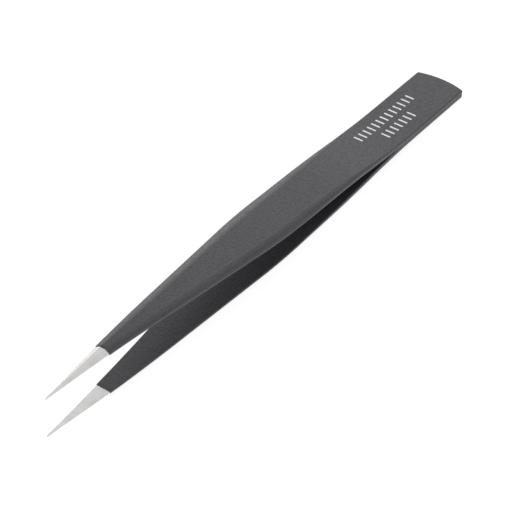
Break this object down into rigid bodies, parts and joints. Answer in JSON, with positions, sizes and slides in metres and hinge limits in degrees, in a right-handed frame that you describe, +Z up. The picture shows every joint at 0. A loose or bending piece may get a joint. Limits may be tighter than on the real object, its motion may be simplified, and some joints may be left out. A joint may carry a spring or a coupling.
{
  "type": "precision tweezers",
  "caption": "Slim needle-point tweezers: two flat sprung steel leaves welded at the tail, black matte coating, bare steel points.",
  "frame": {"origin": "centre of the underside of the bounding box: the level surface that the tweezers lie on, midway between the points and the tail", "axes": "+X from the points towards the welded tail, +Y across the leaves, +Z up; the tweezers lie on the lower arm and the end of the tail, so the seam between the leaves leans 2.37 degrees down towards the tail"},
  "size_m": [0.1202, 0.0108, 0.0102],
  "materials": {
    "point_steel": "ground and lightly polished stainless steel, brushed along the point",
    "weld_steel": "melted weld metal, hidden between the leaves",
    "coating": "matte charcoal dissipative coating with a very fine grain",
    "ink": "flat white printed ink"
  },
  "bodies": {
    "tail": {"upper_tail_blade": "point_steel", "lower_tail_blade": "point_steel", "weld_nuggets": "weld_steel", "tail_coating": "coating", "printed_marking": "ink"},
    "upper_arm": {"upper_arm_blade": "point_steel", "upper_arm_coating": "coating"},
    "lower_arm": {"lower_arm_blade": "point_steel", "lower_arm_coating": "coating"}
  },
  "joints": [
    {"name": "upper_arm_flex", "type": "hinge", "parent": "tail", "child": "upper_arm", "pos_m": [0.03156, 0, 0.00233], "axis": [0, -1, 0], "range_deg": [0, 2.49], "stiffness_Nm_per_rad": 1.7},
    {"name": "lower_arm_flex", "type": "hinge", "parent": "tail", "child": "lower_arm", "pos_m": [0.03153, 0, 0.00173], "axis": [0, 1, 0], "range_deg": [0, 2.49], "stiffness_Nm_per_rad": 1.7}
  ],
  "couplings": [
    {"joint": "lower_arm_flex", "follows": "upper_arm_flex", "ratio": 1}
  ]
}
